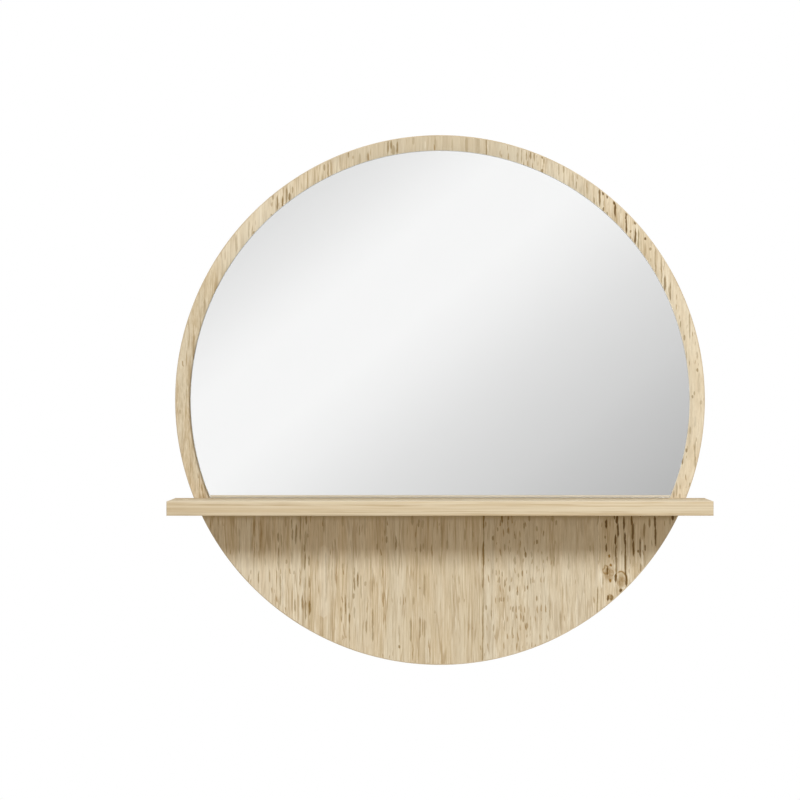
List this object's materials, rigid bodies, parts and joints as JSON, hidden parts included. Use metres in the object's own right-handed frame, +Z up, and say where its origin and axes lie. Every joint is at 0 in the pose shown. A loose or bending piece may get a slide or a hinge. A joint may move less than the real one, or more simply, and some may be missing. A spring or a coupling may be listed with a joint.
{
  "type": "mirror with shelf",
  "caption": "Round wall mirror in an oak-effect board, cut off straight above a narrow shelf that runs the full width, with the bare board showing below; hangs by keyhole plates.",
  "frame": {"origin": "on the wall plane, behind the centre of the round board", "axes": "+Z up, +X to the right of someone who looks into the mirror, +Y into the wall, so the mirror faces -Y"},
  "size_m": [0.45, 0.1, 0.45],
  "materials": {
    "oak_board": "satin",
    "oak_edge": "satin",
    "oak_shelf": "satin",
    "fibreboard": "matte",
    "mirror_glass": "polished",
    "silvering": "polished",
    "foam_tape": "matte",
    "beech": "matte",
    "zinc_steel": "satin"
  },
  "bodies": {
    "root": {"board_core": "fibreboard", "board_front_laminate": "oak_board", "board_back_laminate": "oak_board", "board_edge_band": "oak_edge", "mirror_glass": "mirror_glass", "mirror_silvering": "silvering", "mirror_tape_far_left": "foam_tape", "mirror_tape_left": "foam_tape", "mirror_tape_centre": "foam_tape", "mirror_tape_right": "foam_tape", "mirror_tape_far_right": "foam_tape", "shelf_core": "fibreboard", "shelf_top_laminate": "oak_shelf", "shelf_bottom_laminate": "oak_shelf", "shelf_front_band": "oak_shelf", "shelf_back_band": "oak_shelf", "shelf_left_band": "oak_shelf", "shelf_right_band": "oak_shelf", "shelf_dowel_left": "beech", "shelf_dowel_right": "beech", "shelf_screw_left": "zinc_steel", "shelf_screw_centre": "zinc_steel", "shelf_screw_right": "zinc_steel", "hanger_plate_left": "zinc_steel", "hanger_plate_right": "zinc_steel", "hanger_screw_left_upper": "zinc_steel", "hanger_screw_left_lower": "zinc_steel", "hanger_screw_right_upper": "zinc_steel", "hanger_screw_right_lower": "zinc_steel"}
  },
  "joints": []
}
